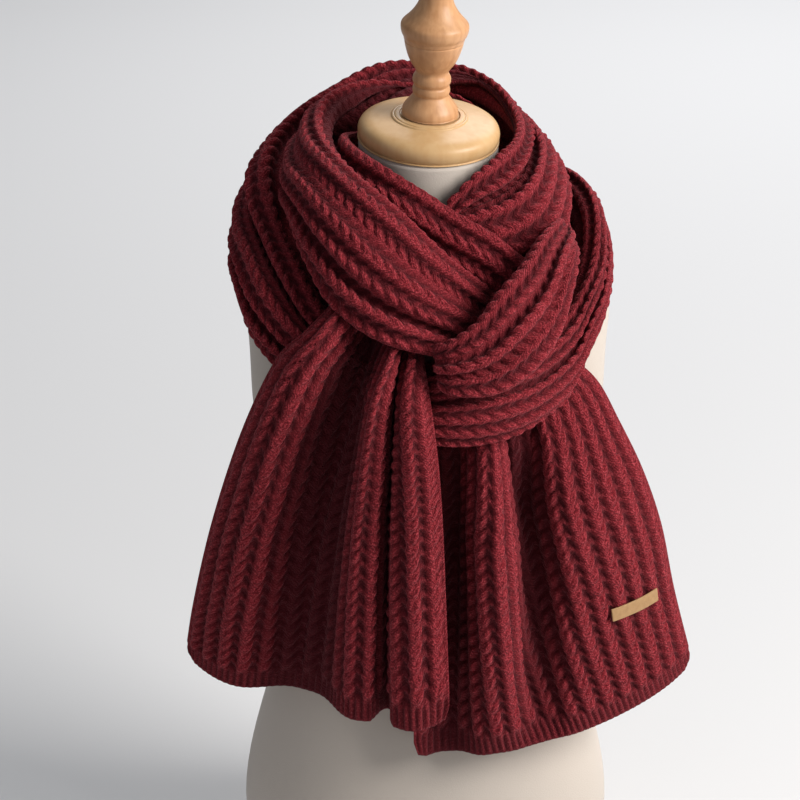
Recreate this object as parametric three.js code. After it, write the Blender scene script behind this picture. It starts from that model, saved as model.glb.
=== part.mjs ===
// Chunky rib-knit scarf wound round the neck of a limbless dress form.
// Millimetres, +Z up. The front faces -Y. The origin is the centre of the form's flat underside.
import * as THREE from 'three';

// Driving sizes
const SCARF_WALL = 4;
const RIB_RISE = 2.4;
const SEAM_GAP = 0.35;
const CAP_HEIGHT = 21.3;
const NECK_TOP = 694;
const CAP_SEAT = NECK_TOP + 0.4;
const CAP_FORWARD_TILT = THREE.MathUtils.degToRad(8);
const CAP_SIDE_LEAN = THREE.MathUtils.degToRad(2.8);
const LABEL_LENGTH = 50;
const LABEL_WIDTH = 12;
const LABEL_THICKNESS = 1.4;

// Scarf tables. Turn is in degrees round the neck: 0 is the front, 90 is the side at +X.
// Reach is the distance from the neck's axis. Each row is one section across the strip, from its
// low edge to its high edge, and crown is how far the middle puffs out beyond those edges.
const BAND_COLUMNS = ['highTurn', 'highReach', 'highZ', 'lowTurn', 'lowReach', 'lowZ', 'crown'];
const UPPER_FRONT_BAND = [
  [-205, 70, 712, -205, 82, 660, 8],
  [-175, 72, 717, -175, 86, 655, 10],
  [-140, 80, 722, -142, 98, 655, 14],
  [-108, 84, 716, -112, 104, 648, 19],
  [-78, 84, 702, -86, 108, 642, 23],
  [-52, 85, 688, -62, 116, 638, 27],
  [-32, 87, 672, -45, 130, 618, 29],
  [-13, 91, 652, -30, 143, 592, 29],
  [4, 98, 626, -14, 148, 572, 24],
  [16, 107, 610, 1, 143, 560, 18],
  [26, 112, 597, 13, 137, 554, 12],
  [34, 112, 586, 24, 130, 555, 7],
];
const INNER_FRONT_BAND = [
  [-150, 59.3, 700, -150, 63, 674, 5],
  [-110, 65, 712, -110, 72, 682, 6],
  [-78, 71, 713, -80, 80, 676, 7],
  [-42, 67, 695, -46, 80, 658, 8],
  [-12, 68, 675, -18, 84, 638, 9],
  [9, 73, 659, 2, 90, 620, 9],
  [30, 96, 640, 20, 98, 606, 9],
  [42, 116, 618, 31, 105, 594, 8],
];
const RIGHT_COLLAR_BAND = [
  [30, 69, 638, 26, 86, 604, 6],
  [46, 68, 662, 42, 102, 622, 9],
  [62, 68, 676, 58, 110, 640, 13],
  [86, 69, 690, 84, 109, 658, 13],
  [117, 76, 706, 112, 107, 660, 12],
  [142, 86, 720, 140, 106, 662, 12],
  [162, 91, 729, 162, 106, 664, 14],
  [179.6, 92, 731, 179.6, 107, 665, 14],
];
const OUTER_LEFT_LOOP = [
  [-179.6, 92, 731, -179.6, 107, 665, 14],
  [-158, 93, 731, -158, 112, 656, 16],
  [-135, 100, 716, -137, 124, 628, 20],
  [-112, 115, 696, -114, 136, 606, 23],
  [-90, 126, 671, -92, 142, 581, 25],
  [-70, 123, 629, -74, 150, 577, 29],
  [-54, 125, 609, -60, 154, 552, 28],
  [-40, 131, 582, -50, 154, 536, 19],
  [-28, 132, 560, -38, 147, 524, 12],
];
const OUTER_RIGHT_LOOP = [
  [-8, 136, 531, -8, 151, 498, 8],
  [8, 142, 546, 6, 154, 494, 14],
  [24, 141, 552, 20, 155, 492, 18],
  [40, 134, 560, 34, 154, 502, 22],
  [56, 130, 576, 46, 150, 516, 23],
  [70, 130, 604, 60, 147, 549, 21],
  [86, 124, 636, 82, 145.4, 583, 15],
  [106, 119, 650, 104, 140, 592, 15],
  [132, 114, 652, 130, 134, 592, 15],
  [160, 112, 652, 160, 128, 590, 16],
  [190, 110, 648, 190, 123, 589, 14],
  [216, 104, 640, 216, 116, 594, 9],
  [238, 102, 636, 238, 112, 606, 6],
];
const KNOT_BAND = [
  [1.5, 153, 571, 3, 159, 541, 8],
  [6, 158, 577, 7, 166, 537, 12],
  [13, 156, 590, 17, 170, 538, 15],
  [21, 147, 608, 27, 170, 552, 17],
  [32, 137, 626, 37, 162, 574, 16],
  [42, 129, 640, 47, 150, 604, 13],
  [54, 123, 646, 56, 138, 618, 9],
  [64, 116, 637, 66, 128, 616, 6],
  [76, 108, 638, 77, 118, 617, 5],
  [94, 100, 638, 94, 109, 620, 4],
];

// The tails hang as fans. Each row is one line across the cloth, in x, y and z at both edges.
// Bow is how far the middle wraps outward round the body, and sag how far it hangs below the edges.
const TAIL_COLUMNS = ['leftX', 'leftY', 'leftZ', 'rightX', 'rightY', 'rightZ', 'bow', 'sag'];
const LEFT_TAIL = [
  [-70, -103, 600, -5, -123, 560, 8, 0],
  [-80, -114, 587, -4, -138, 549, 8, 0],
  [-98, -130, 573, -2, -153, 540, 9, 1],
  [-119, -126, 550, 1, -165, 524, 14, 3],
  [-148, -112, 484, 6, -170, 486, 18, 6],
  [-176, -90, 395, 10, -169, 434, 22, 8],
  [-196, -73, 312, 14, -166, 346, 24, 8],
  [-207, -60, 252, 18, -164, 246, 24, 6],
];
const RIGHT_TAIL = [
  [-4, -118, 544, 106, -88, 544, 12, 0],
  [-6, -121, 506, 136, -70, 512, 15, 3],
  [-8, -125, 462, 156, -72, 476, 24, 6],
  [-10, -128, 410, 177, -72, 432, 32, 8],
  [-11, -130, 350, 195, -66, 380, 38, 11],
  [-12, -130, 290, 209, -58, 318, 42, 13],
  [-12, -129, 228, 224, -50, 262, 44, 14],
  [-12, -128, 195, 231, -46, 238, 44, 14],
];

// Folds run along a strip. Across is 0 at the low or left edge and 1 at the other edge.
// A negative depth is a trough. Start and end are the depth's share at the strip's two ends.
const FOLD_COLUMNS = ['across', 'width', 'depth', 'start', 'end'];
const LEFT_TAIL_FOLDS = [
  [0.14, 0.09, 9, 0.5, 1],
  [0.42, 0.12, -19, 0.6, 1],
  [0.64, 0.06, 12, 0.4, 1],
  [0.77, 0.035, -20, 0.5, 1],
  [0.88, 0.07, 12, 0.3, 1],
];
const RIGHT_TAIL_FOLDS = [
  [0.13, 0.05, -13, 0.5, 1],
  [0.23, 0.05, 6, 0.5, 1],
  [0.34, 0.05, -5, 0.5, 1],
];
const UPPER_BAND_FOLDS = [
  [0.32, 0.05, -4, 0, 1],
  [0.66, 0.05, -3, 0, 1],
];
const LEFT_LOOP_FOLDS = [
  [0.34, 0.05, -7, 0, 1],
  [0.62, 0.07, -12, 0.4, 1],
];
const RIGHT_LOOP_FOLDS = [[0.6, 0.06, -6, 1, 0.4]];
const COLLAR_FOLDS = [[0.68, 0.06, -9, 1, 0.6]];
const KNOT_FOLDS = [
  [0.36, 0.06, -6, 1, 0.2],
  [0.66, 0.06, -4, 1, 0.2],
];

// Dress form sections, bottom to top: half width, half depth, how far the middle sits forward.
const FORM_COLUMNS = ['z', 'halfWidth', 'halfDepth', 'forward', 'squareness'];
const FORM_SECTIONS = [
  [0, 146, 104, 0, 2.2],
  [6, 152, 110, 0, 2.2],
  [90, 163, 115, 0, 2.2],
  [180, 145, 104, 0, 2.1],
  [262, 117, 87, 0, 2.1],
  [300, 113, 84, 0, 2.1],
  [360, 124, 92, 2, 2.2],
  [430, 141, 106, 4, 2.3],
  [470, 147, 112, 4.4, 2.3],
  [520, 149, 103, 2, 2.4],
  [556, 151, 93, 0, 2.5],
  [576, 147, 86, 0, 2.5],
  [590, 130, 79, 0, 2.4],
  [603, 104, 72, 0, 2.2],
  [617, 80, 65, 0, 2.1],
  [634, 65, 60, 0, 2],
  [654, 58, 57, 0, 2],
  [675, 57, 57, 0, 2],
  [694, 57, 57, 0, 2],
];
const FORM_SIDES = 44;
const NECK_TILT_START = 640;

// Turned profiles, as radius and height above each piece's own seat.
const CAP_PROFILE = [
  [0, 0], [54, 0], [57.2, 2.6], [57.8, 6.4], [57.2, 10], [54.6, 13.6], [49.6, 16.2], [41, 17.7],
  [32.6, 19], [30.6, 20.4], [27, 21.3], [0, 21.3],
];
const FINIAL_PROFILE = [
  [0, 0], [22.2, 0], [22.8, 2.6], [21, 7.2], [17, 13], [14.2, 17], [15.1, 19.6], [15.1, 22.6],
  [14, 25.4], [15.2, 28], [15.4, 31], [13.4, 35], [14.4, 39], [18, 44.4], [21.4, 52.8], [23.6, 60.4],
  [24.6, 65.6], [26.7, 70], [27.4, 74.6], [26, 78.2], [22.2, 82], [18.5, 86.4], [15.6, 90.8],
  [13.6, 95.4], [12.7, 101], [11.8, 108], [8.6, 113], [0, 115.8],
];
const TURNING_SIDES = 40;

const WOOL = { color: 0x7a1f30, roughness: 0.95, metalness: 0 };
const FORM_CLOTH = { color: 0xe6e3dc, roughness: 0.9, metalness: 0 };
const CAP_WOOD = { color: 0xe0bd8c, roughness: 0.5, metalness: 0 };
const FINIAL_WOOD = { color: 0xcf9c70, roughness: 0.5, metalness: 0 };
const TAN_LEATHER = { color: 0xc8935a, roughness: 0.6, metalness: 0 };

const group = new THREE.Group();

function addMesh(name, geometry, look, parent = group) {
  const mesh = new THREE.Mesh(geometry, new THREE.MeshStandardMaterial(look));
  mesh.name = name;
  parent.add(mesh);
  return mesh;
}

function namedRows(columns, rows) {
  return rows.map((row) => Object.fromEntries(columns.map((column, i) => [column, row[i]])));
}

// A smooth value between rows: t runs from 0 at the first row to 1 at the last.
function between(rows, t, column) {
  const place = t * (rows.length - 1);
  const i = Math.min(Math.floor(place), rows.length - 2);
  const f = place - i;
  const b = rows[i][column];
  const c = rows[i + 1][column];
  const a = i > 0 ? rows[i - 1][column] : 2 * b - c;
  const d = i < rows.length - 2 ? rows[i + 2][column] : 2 * c - b;
  return b + 0.5 * f * (c - a + f * (2 * a - 5 * b + 4 * c - d + f * (3 * (b - c) + d - a)));
}

function roundNeck(turn, reach, z) {
  const angle = THREE.MathUtils.degToRad(turn);
  return new THREE.Vector3(reach * Math.sin(angle), -reach * Math.cos(angle), z);
}

function bandLine(rows) {
  const table = namedRows(BAND_COLUMNS, rows);
  return (t) => ({
    low: roundNeck(between(table, t, 'lowTurn'), between(table, t, 'lowReach'), between(table, t, 'lowZ')),
    high: roundNeck(between(table, t, 'highTurn'), between(table, t, 'highReach'), between(table, t, 'highZ')),
    crown: between(table, t, 'crown'),
    sag: 0,
  });
}

function tailLine(rows) {
  const table = namedRows(TAIL_COLUMNS, rows);
  const corner = (t, side) =>
    new THREE.Vector3(between(table, t, `${side}X`), between(table, t, `${side}Y`), between(table, t, `${side}Z`));
  return (t) => ({
    low: corner(t, 'left'),
    high: corner(t, 'right'),
    crown: between(table, t, 'bow'),
    sag: between(table, t, 'sag'),
  });
}

// The cloth's face across one section: an arc from the low edge to the high edge, with its folds.
function sectionPoints(strip, t, count) {
  const here = strip.line(t);
  const step = 1e-3;
  const before = strip.line(Math.max(t - step, 0));
  const after = strip.line(Math.min(t + step, 1));
  const along = after.low.clone().add(after.high).sub(before.low).sub(before.high).normalize();
  const half = here.high.clone().sub(here.low).multiplyScalar(0.5);
  const middle = here.high.clone().add(here.low).multiplyScalar(0.5);
  const out = along.clone().cross(half).normalize();
  const wrap = THREE.MathUtils.degToRad(strip.wrap);
  const rim = Math.cos(wrap);
  const dense = [];
  const DENSE = 160;
  for (let k = 0; k <= DENSE; k += 1) {
    const angle = wrap * (2 * k / DENSE - 1);
    const rise = (Math.cos(angle) - rim) / (1 - rim);
    const point = middle.clone().addScaledVector(half, Math.sin(angle) / Math.sin(wrap));
    point.addScaledVector(out, here.crown * rise);
    point.z -= here.sag * rise;
    dense.push(point);
  }
  const even = evenly(dense, DENSE + 1);
  const folded = even.map((point, k) => {
    const across = k / DENSE;
    const next = even[Math.min(k + 1, DENSE)];
    const last = even[Math.max(k - 1, 0)];
    const facing = along.clone().cross(next.clone().sub(last)).normalize();
    const depth = strip.folds.reduce((sum, fold) => sum + foldDepth(fold, across, t), 0);
    return point.clone().addScaledVector(facing, depth);
  });
  return evenly(folded, count);
}

function foldDepth(fold, across, t) {
  const distance = (across - fold.across) / fold.width;
  return fold.depth * (fold.start + (fold.end - fold.start) * t) * Math.exp(-distance * distance);
}

// Points spaced evenly along a line of points.
function evenly(points, count) {
  const lengths = [0];
  for (let k = 1; k < points.length; k += 1) lengths.push(lengths[k - 1] + points[k].distanceTo(points[k - 1]));
  const total = lengths[lengths.length - 1];
  let k = 1;
  return Array.from({ length: count }, (_, i) => {
    const target = total * i / (count - 1);
    while (k < points.length - 1 && lengths[k] < target) k += 1;
    return points[k - 1].clone().lerp(points[k], (target - lengths[k - 1]) / (lengths[k] - lengths[k - 1]));
  });
}

// The outward direction at each point of a grid of sections.
function gridNormals(grid) {
  return grid.map((row, m) => row.map((_, k) => {
    const along = grid[Math.min(m + 1, grid.length - 1)][k].clone().sub(grid[Math.max(m - 1, 0)][k]);
    const across = row[Math.min(k + 1, row.length - 1)].clone().sub(row[Math.max(k - 1, 0)]);
    return along.cross(across).normalize();
  }));
}

function stripGrid(strip, columns) {
  return Array.from({ length: strip.steps + 1 }, (_, m) => sectionPoints(strip, m / strip.steps, columns));
}

// A wall of knit cloth: raised ribs run along its outer face, and its inner face is plain.
function knitStrip(name, strip) {
  const outerCount = 2 * strip.ribs + 1;
  const outer = stripGrid(strip, outerCount);
  const outerFacing = gridNormals(outer);
  const inner = stripGrid(strip, strip.innerColumns);
  const innerFacing = gridNormals(inner);
  const ringSize = outerCount + strip.innerColumns;
  const positions = [];
  for (let m = 0; m <= strip.steps; m += 1) {
    for (let k = 0; k < outerCount; k += 1) {
      const rise = k % 2 === 1 ? RIB_RISE : 0;
      positions.push(...outer[m][k].clone().addScaledVector(outerFacing[m][k], rise).toArray());
    }
    for (let k = strip.innerColumns - 1; k >= 0; k -= 1) {
      positions.push(...inner[m][k].clone().addScaledVector(innerFacing[m][k], -SCARF_WALL).toArray());
    }
  }
  const faces = [];
  for (let m = 0; m < strip.steps; m += 1) {
    for (let k = 0; k < ringSize; k += 1) {
      const a = m * ringSize + k;
      const b = m * ringSize + (k + 1) % ringSize;
      faces.push(a, a + ringSize, b + ringSize, a, b + ringSize, b);
    }
  }
  addEndFaces(faces, 0, outerCount, strip.innerColumns, false);
  addEndFaces(faces, strip.steps * ringSize, outerCount, strip.innerColumns, true);
  const geometry = new THREE.BufferGeometry();
  geometry.setAttribute('position', new THREE.Float32BufferAttribute(positions, 3));
  geometry.setIndex(faces);
  geometry.computeVertexNormals();
  return addMesh(name, geometry, WOOL);
}

// The cut end of a wall: triangles between its outer points and its inner points.
function addEndFaces(faces, start, outerCount, innerCount, flipped) {
  const innerAt = (j) => start + outerCount + innerCount - 1 - j;
  let i = 0;
  let j = 0;
  while (i < outerCount - 1 || j < innerCount - 1) {
    const outerNext = (i + 1) / (outerCount - 1);
    const innerNext = (j + 1) / (innerCount - 1);
    const stepOuter = j === innerCount - 1 || (i < outerCount - 1 && outerNext <= innerNext);
    const triangle = stepOuter ? [start + i, start + i + 1, innerAt(j)] : [start + i, innerAt(j + 1), innerAt(j)];
    if (flipped) triangle.reverse();
    faces.push(...triangle);
    if (stepOuter) i += 1;
    else j += 1;
  }
}

const BAND_WRAP = 108;
const TAIL_WRAP = 62;

function band(name, rows, folds, ribs, steps) {
  return knitStrip(name, {
    line: bandLine(rows), folds: namedRows(FOLD_COLUMNS, folds), wrap: BAND_WRAP, ribs, steps, innerColumns: ribs + 3,
  });
}

function tailStrip(rows, folds, ribs, steps) {
  return {
    line: tailLine(rows), folds: namedRows(FOLD_COLUMNS, folds), wrap: TAIL_WRAP, ribs, steps, innerColumns: 25,
  };
}

// The limbless form: smooth rings, a flat underside, and a neck whose top tilts with its cap.
function formTorso() {
  const table = namedRows(FORM_COLUMNS, FORM_SECTIONS);
  const positions = [];
  for (const row of table) {
    const lift = THREE.MathUtils.clamp((row.z - NECK_TILT_START) / (NECK_TOP - NECK_TILT_START), 0, 1);
    for (let k = 0; k < FORM_SIDES; k += 1) {
      const angle = 2 * Math.PI * k / FORM_SIDES;
      const power = 2 / row.squareness;
      const x = row.halfWidth * Math.sign(Math.cos(angle)) * Math.abs(Math.cos(angle)) ** power;
      const y = row.halfDepth * Math.sign(Math.sin(angle)) * Math.abs(Math.sin(angle)) ** power - row.forward;
      const tilt = y * Math.tan(CAP_FORWARD_TILT) - x * Math.tan(CAP_SIDE_LEAN);
      positions.push(x, y, row.z + lift * tilt);
    }
  }
  const rings = table.length;
  const faces = [];
  for (let m = 0; m < rings - 1; m += 1) {
    for (let k = 0; k < FORM_SIDES; k += 1) {
      const a = m * FORM_SIDES + k;
      const b = m * FORM_SIDES + (k + 1) % FORM_SIDES;
      faces.push(a, b, b + FORM_SIDES, a, b + FORM_SIDES, a + FORM_SIDES);
    }
  }
  const bottom = positions.length / 3;
  positions.push(0, 0, 0, 0, 0, table[rings - 1].z);
  for (let k = 0; k < FORM_SIDES; k += 1) {
    const next = (k + 1) % FORM_SIDES;
    faces.push(bottom, next, k);
    faces.push(bottom + 1, (rings - 1) * FORM_SIDES + k, (rings - 1) * FORM_SIDES + next);
  }
  const geometry = new THREE.BufferGeometry();
  geometry.setAttribute('position', new THREE.Float32BufferAttribute(positions, 3));
  geometry.setIndex(faces);
  geometry.computeVertexNormals();
  return addMesh('form_torso', geometry, FORM_CLOTH);
}

function turnedPiece(name, profile, look, parent, height) {
  const outline = profile.map(([radius, rise]) => new THREE.Vector2(radius, rise));
  const geometry = new THREE.LatheGeometry(outline, TURNING_SIDES);
  geometry.rotateX(Math.PI / 2);
  const mesh = addMesh(name, geometry, look, parent);
  mesh.position.z = height;
  return mesh;
}

// The leather label lies on the right tail, made from the tail's own points moved out.
function leatherLabel(strip) {
  const PLACE = { along: 0.68, across: 0.787, turn: THREE.MathUtils.degToRad(11) };
  const LENGTH_STEPS = 8;
  const WIDTH_STEPS = 2;
  const CLEAR = RIB_RISE + SEAM_GAP;
  const section = (t) => sectionPoints(strip, t, 201);
  const at = (along, across) => {
    const points = section(along);
    const place = across * 200;
    const k = Math.min(Math.floor(place), 199);
    return points[k].clone().lerp(points[k + 1], place - k);
  };
  const middle = at(PLACE.along, PLACE.across);
  const acrossSize = at(PLACE.along, PLACE.across + 0.01).distanceTo(middle) / 0.01;
  const alongSize = at(PLACE.along + 0.01, PLACE.across).distanceTo(middle) / 0.01;
  const grid = [];
  for (let m = 0; m <= WIDTH_STEPS; m += 1) {
    const row = [];
    for (let k = 0; k <= LENGTH_STEPS; k += 1) {
      const u = LABEL_LENGTH * (k / LENGTH_STEPS - 0.5);
      const v = LABEL_WIDTH * (m / WIDTH_STEPS - 0.5);
      const across = u * Math.cos(PLACE.turn) - v * Math.sin(PLACE.turn);
      const down = u * Math.sin(PLACE.turn) + v * Math.cos(PLACE.turn);
      row.push(at(PLACE.along + down / alongSize, PLACE.across + across / acrossSize));
    }
    grid.push(row);
  }
  const facing = gridNormals(grid);
  const positions = [];
  for (const rise of [CLEAR + LABEL_THICKNESS, CLEAR]) {
    grid.forEach((row, m) => row.forEach((point, k) => {
      positions.push(...point.clone().addScaledVector(facing[m][k], rise).toArray());
    }));
  }
  const columns = LENGTH_STEPS + 1;
  const back = columns * (WIDTH_STEPS + 1);
  const faces = [];
  for (let m = 0; m < WIDTH_STEPS; m += 1) {
    for (let k = 0; k < LENGTH_STEPS; k += 1) {
      const a = m * columns + k;
      faces.push(a, a + columns, a + columns + 1, a, a + columns + 1, a + 1);
      faces.push(back + a, back + a + columns + 1, back + a + columns, back + a, back + a + 1, back + a + columns + 1);
    }
  }
  const rim = [];
  for (let k = 0; k < LENGTH_STEPS; k += 1) rim.push(k);
  for (let m = 0; m < WIDTH_STEPS; m += 1) rim.push(m * columns + LENGTH_STEPS);
  for (let k = LENGTH_STEPS; k > 0; k -= 1) rim.push(WIDTH_STEPS * columns + k);
  for (let m = WIDTH_STEPS; m > 0; m -= 1) rim.push(m * columns);
  rim.forEach((a, i) => {
    const b = rim[(i + 1) % rim.length];
    faces.push(a, b, back + b, a, back + b, back + a);
  });
  const geometry = new THREE.BufferGeometry();
  geometry.setAttribute('position', new THREE.Float32BufferAttribute(positions, 3));
  geometry.setIndex(faces);
  geometry.computeVertexNormals();
  return addMesh('leather_label', geometry, TAN_LEATHER);
}

formTorso();
const neckTop = new THREE.Group();
neckTop.position.z = CAP_SEAT;
neckTop.quaternion.setFromUnitVectors(
  new THREE.Vector3(0, 0, 1),
  new THREE.Vector3(Math.tan(CAP_SIDE_LEAN), -Math.tan(CAP_FORWARD_TILT), 1).normalize(),
);
group.add(neckTop);
turnedPiece('neck_cap', CAP_PROFILE, CAP_WOOD, neckTop, 0);
turnedPiece('finial', FINIAL_PROFILE, FINIAL_WOOD, neckTop, CAP_HEIGHT + SEAM_GAP);

band('upper_front_band', UPPER_FRONT_BAND, UPPER_BAND_FOLDS, 8, 28);
band('inner_front_band', INNER_FRONT_BAND, [], 3, 18);
band('right_collar_band', RIGHT_COLLAR_BAND, COLLAR_FOLDS, 6, 20);
band('outer_left_loop', OUTER_LEFT_LOOP, LEFT_LOOP_FOLDS, 8, 22);
band('outer_right_loop', OUTER_RIGHT_LOOP, RIGHT_LOOP_FOLDS, 7, 30);
band('knot_band', KNOT_BAND, KNOT_FOLDS, 5, 16);

knitStrip('left_tail', tailStrip(LEFT_TAIL, LEFT_TAIL_FOLDS, 16, 16));
const rightTail = tailStrip(RIGHT_TAIL, RIGHT_TAIL_FOLDS, 16, 16);
knitStrip('right_tail', rightTail);
leatherLabel(rightTail);

export default group;
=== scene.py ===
"""Chunky rib-knit wool scarf wound round the neck of a limbless dress form."""
import math

import bmesh
import bpy
import numpy as np
from mathutils import Matrix, Vector


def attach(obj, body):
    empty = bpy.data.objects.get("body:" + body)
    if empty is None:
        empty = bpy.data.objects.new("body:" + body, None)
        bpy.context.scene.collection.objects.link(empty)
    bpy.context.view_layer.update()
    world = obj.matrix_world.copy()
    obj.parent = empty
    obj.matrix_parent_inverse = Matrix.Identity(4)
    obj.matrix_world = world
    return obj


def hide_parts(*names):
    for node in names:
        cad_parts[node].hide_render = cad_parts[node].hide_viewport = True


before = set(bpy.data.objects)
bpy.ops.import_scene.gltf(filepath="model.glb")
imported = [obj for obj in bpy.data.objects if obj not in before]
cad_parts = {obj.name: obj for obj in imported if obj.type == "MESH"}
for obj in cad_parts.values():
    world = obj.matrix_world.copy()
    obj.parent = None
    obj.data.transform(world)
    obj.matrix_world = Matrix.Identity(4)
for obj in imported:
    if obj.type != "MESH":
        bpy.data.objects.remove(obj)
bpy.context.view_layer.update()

# Camera: the front, looking down a little, with the whole scarf in the frame.
# It stands about 1.9 m away, and the image is square.
CAMERA_TARGET = Vector((-0.023, 0, 0.465))
CAMERA_DISTANCE = 1.928
CAMERA_PITCH = math.radians(22)
CAMERA_VIEW = math.radians(20)
SENSOR_WIDTH = 36
camera_data = bpy.data.cameras.new("camera")
camera_data.sensor_width = SENSOR_WIDTH
camera_data.lens = SENSOR_WIDTH / 2 / math.tan(CAMERA_VIEW / 2)
camera = bpy.data.objects.new("camera", camera_data)
bpy.context.scene.collection.objects.link(camera)
camera_back = Vector((0, -math.cos(CAMERA_PITCH), math.sin(CAMERA_PITCH)))
camera.location = CAMERA_TARGET + CAMERA_DISTANCE * camera_back
camera.rotation_euler = (math.radians(90) - CAMERA_PITCH, 0, 0)
bpy.context.scene.camera = camera
bpy.context.scene.view_settings.view_transform = "Standard"

# Room: a plain pale floor, and soft daylight from a large window on the right.
# A weaker light from the left and the pale room round it fill the shadows, and a third light
# brightens the floor behind.
FLOOR_SIZE = 14
FLOOR_COLOUR = (0.66, 0.66, 0.67, 1)
FLOOR_ROUGHNESS = 0.9
ROOM_TINT = (0.93, 0.96, 1.0, 1)
ROOM_STRENGTH = 0.23
KEY_LIGHT = {"place": (2.05, -0.95, 1.85), "aim": (0, 0, 0.5), "size": 1.3, "power": 99,
             "tint": (1.0, 0.97, 0.93)}
FILL_LIGHT = {"place": (-2.2, -1.6, 1.5), "aim": (0, 0, 0.5), "size": 2.0, "power": 3.5,
              "tint": (0.84, 0.9, 1.0)}
BACK_LIGHT = {"place": (1.2, 3.4, 3.2), "aim": (0.4, 3.1, 0), "size": 3.0, "power": 135,
              "tint": (1.0, 1.0, 1.0)}
floor_bm = bmesh.new()
bmesh.ops.create_grid(floor_bm, x_segments=1, y_segments=1, size=FLOOR_SIZE / 2)
floor_mesh = bpy.data.meshes.new("floor")
floor_bm.to_mesh(floor_mesh)
floor_bm.free()
floor = bpy.data.objects.new("floor", floor_mesh)
bpy.context.scene.collection.objects.link(floor)
floor_paint = bpy.data.materials.new("floor_paint")
floor_paint.use_nodes = True
floor_shader = floor_paint.node_tree.nodes["Principled BSDF"]
floor_shader.inputs["Base Color"].default_value = FLOOR_COLOUR
floor_shader.inputs["Roughness"].default_value = FLOOR_ROUGHNESS
floor_mesh.materials.append(floor_paint)
for name, light in (("key", KEY_LIGHT), ("fill", FILL_LIGHT), ("back", BACK_LIGHT)):
    lamp_data = bpy.data.lights.new(name, "AREA")
    lamp_data.size = light["size"]
    lamp_data.energy = light["power"]
    lamp_data.color = light["tint"]
    lamp = bpy.data.objects.new(name, lamp_data)
    bpy.context.scene.collection.objects.link(lamp)
    lamp.location = light["place"]
    lamp.rotation_euler = (Vector(light["aim"]) - lamp.location).to_track_quat("-Z", "Y").to_euler()
room = bpy.data.worlds.new("room")
room.use_nodes = True
room_light = room.node_tree.nodes["Background"]
room_light.inputs["Color"].default_value = ROOM_TINT
room_light.inputs["Strength"].default_value = ROOM_STRENGTH
bpy.context.scene.world = room

# Form: a padded limbless torso, covered in off-white cotton jersey that is drawn on tight.
# It stands on its own flat underside, and its neck top tilts with the cap. Rows are in mm.
MM = 0.001
FORM_SECTIONS = np.array([  # z, half width, half depth, forward, squareness
    (0, 146, 104, 0, 2.2), (6, 152, 110, 0, 2.2), (90, 163, 115, 0, 2.2), (180, 145, 104, 0, 2.1),
    (262, 117, 87, 0, 2.1), (300, 113, 84, 0, 2.1), (360, 124, 92, 2, 2.2), (430, 141, 106, 4, 2.3),
    (470, 147, 112, 4.4, 2.3), (520, 149, 103, 2, 2.4), (556, 151, 93, 0, 2.5), (576, 147, 86, 0, 2.5),
    (590, 130, 79, 0, 2.4), (603, 104, 72, 0, 2.2), (617, 80, 65, 0, 2.1), (634, 65, 60, 0, 2),
    (654, 58, 57, 0, 2), (675, 57, 57, 0, 2), (694, 57, 57, 0, 2)])
NECK_TOP = 694
NECK_TILT_START = 640
CAP_FORWARD_TILT = math.radians(8)
CAP_SIDE_LEAN = math.radians(2.8)
FORM_CLOTH_COLOUR = (0.52, 0.46, 0.405, 1)
FORM_CLOTH_ROUGHNESS = 0.85
FORM_CLOTH_SHEEN = 0.15
FORM_YARN = 0.0011
FORM_YARN_BUMP = 0.25
FORM_YARN_DEPTH = 0.0004
STEPS_ROUND = 128
STEPS_UP = 140
# The form is a ball drawn out to its sections. Its flat underside ends and its flat top starts
# at these shares of the way up the ball.
UNDERSIDE = 0.05
TOP_FACE = 0.97


def between_rows(rows, share):
    """Smooth values between the rows of a table, at each share of the way down it."""
    place = np.clip(share, 0, 1) * (len(rows) - 1)
    i = np.minimum(place.astype(int), len(rows) - 2)
    f = (place - i)[:, None]
    longer = np.vstack([2 * rows[0] - rows[1], rows, 2 * rows[-1] - rows[-2]])
    a, b, c, d = longer[i], longer[i + 1], longer[i + 2], longer[i + 3]
    return b + 0.5 * f * (c - a + f * (2 * a - 5 * b + 4 * c - d + f * (3 * (b - c) + d - a)))


def finish_piece(name, bm, material, slot, *nodes):
    """The piece made from a bmesh, smooth, with its material, on the root body."""
    mesh = bpy.data.meshes.new(name)
    bm.to_mesh(mesh)
    bm.free()
    mesh.polygons.foreach_set("use_smooth", [True] * len(mesh.polygons))
    mesh.materials.append(material)
    piece = bpy.data.objects.new(name, mesh)
    bpy.context.scene.collection.objects.link(piece)
    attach(piece, "root")
    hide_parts(*nodes)
    return piece


def plain_material(name, colour, roughness):
    """A Principled material, its node tree and its shader."""
    material = bpy.data.materials.new(name)
    material.use_nodes = True
    shader = material.node_tree.nodes["Principled BSDF"]
    shader.inputs["Base Color"].default_value = colour
    shader.inputs["Roughness"].default_value = roughness
    return material, material.node_tree, shader


def add_bump(tree, shader, height, strength, depth):
    """Gives a shader bumps that follow a height socket, with their depth in metres."""
    bump = tree.nodes.new("ShaderNodeBump")
    bump.inputs["Strength"].default_value = strength
    bump.inputs["Distance"].default_value = depth
    tree.links.new(height, bump.inputs["Height"])
    tree.links.new(bump.outputs["Normal"], shader.inputs["Normal"])


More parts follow.
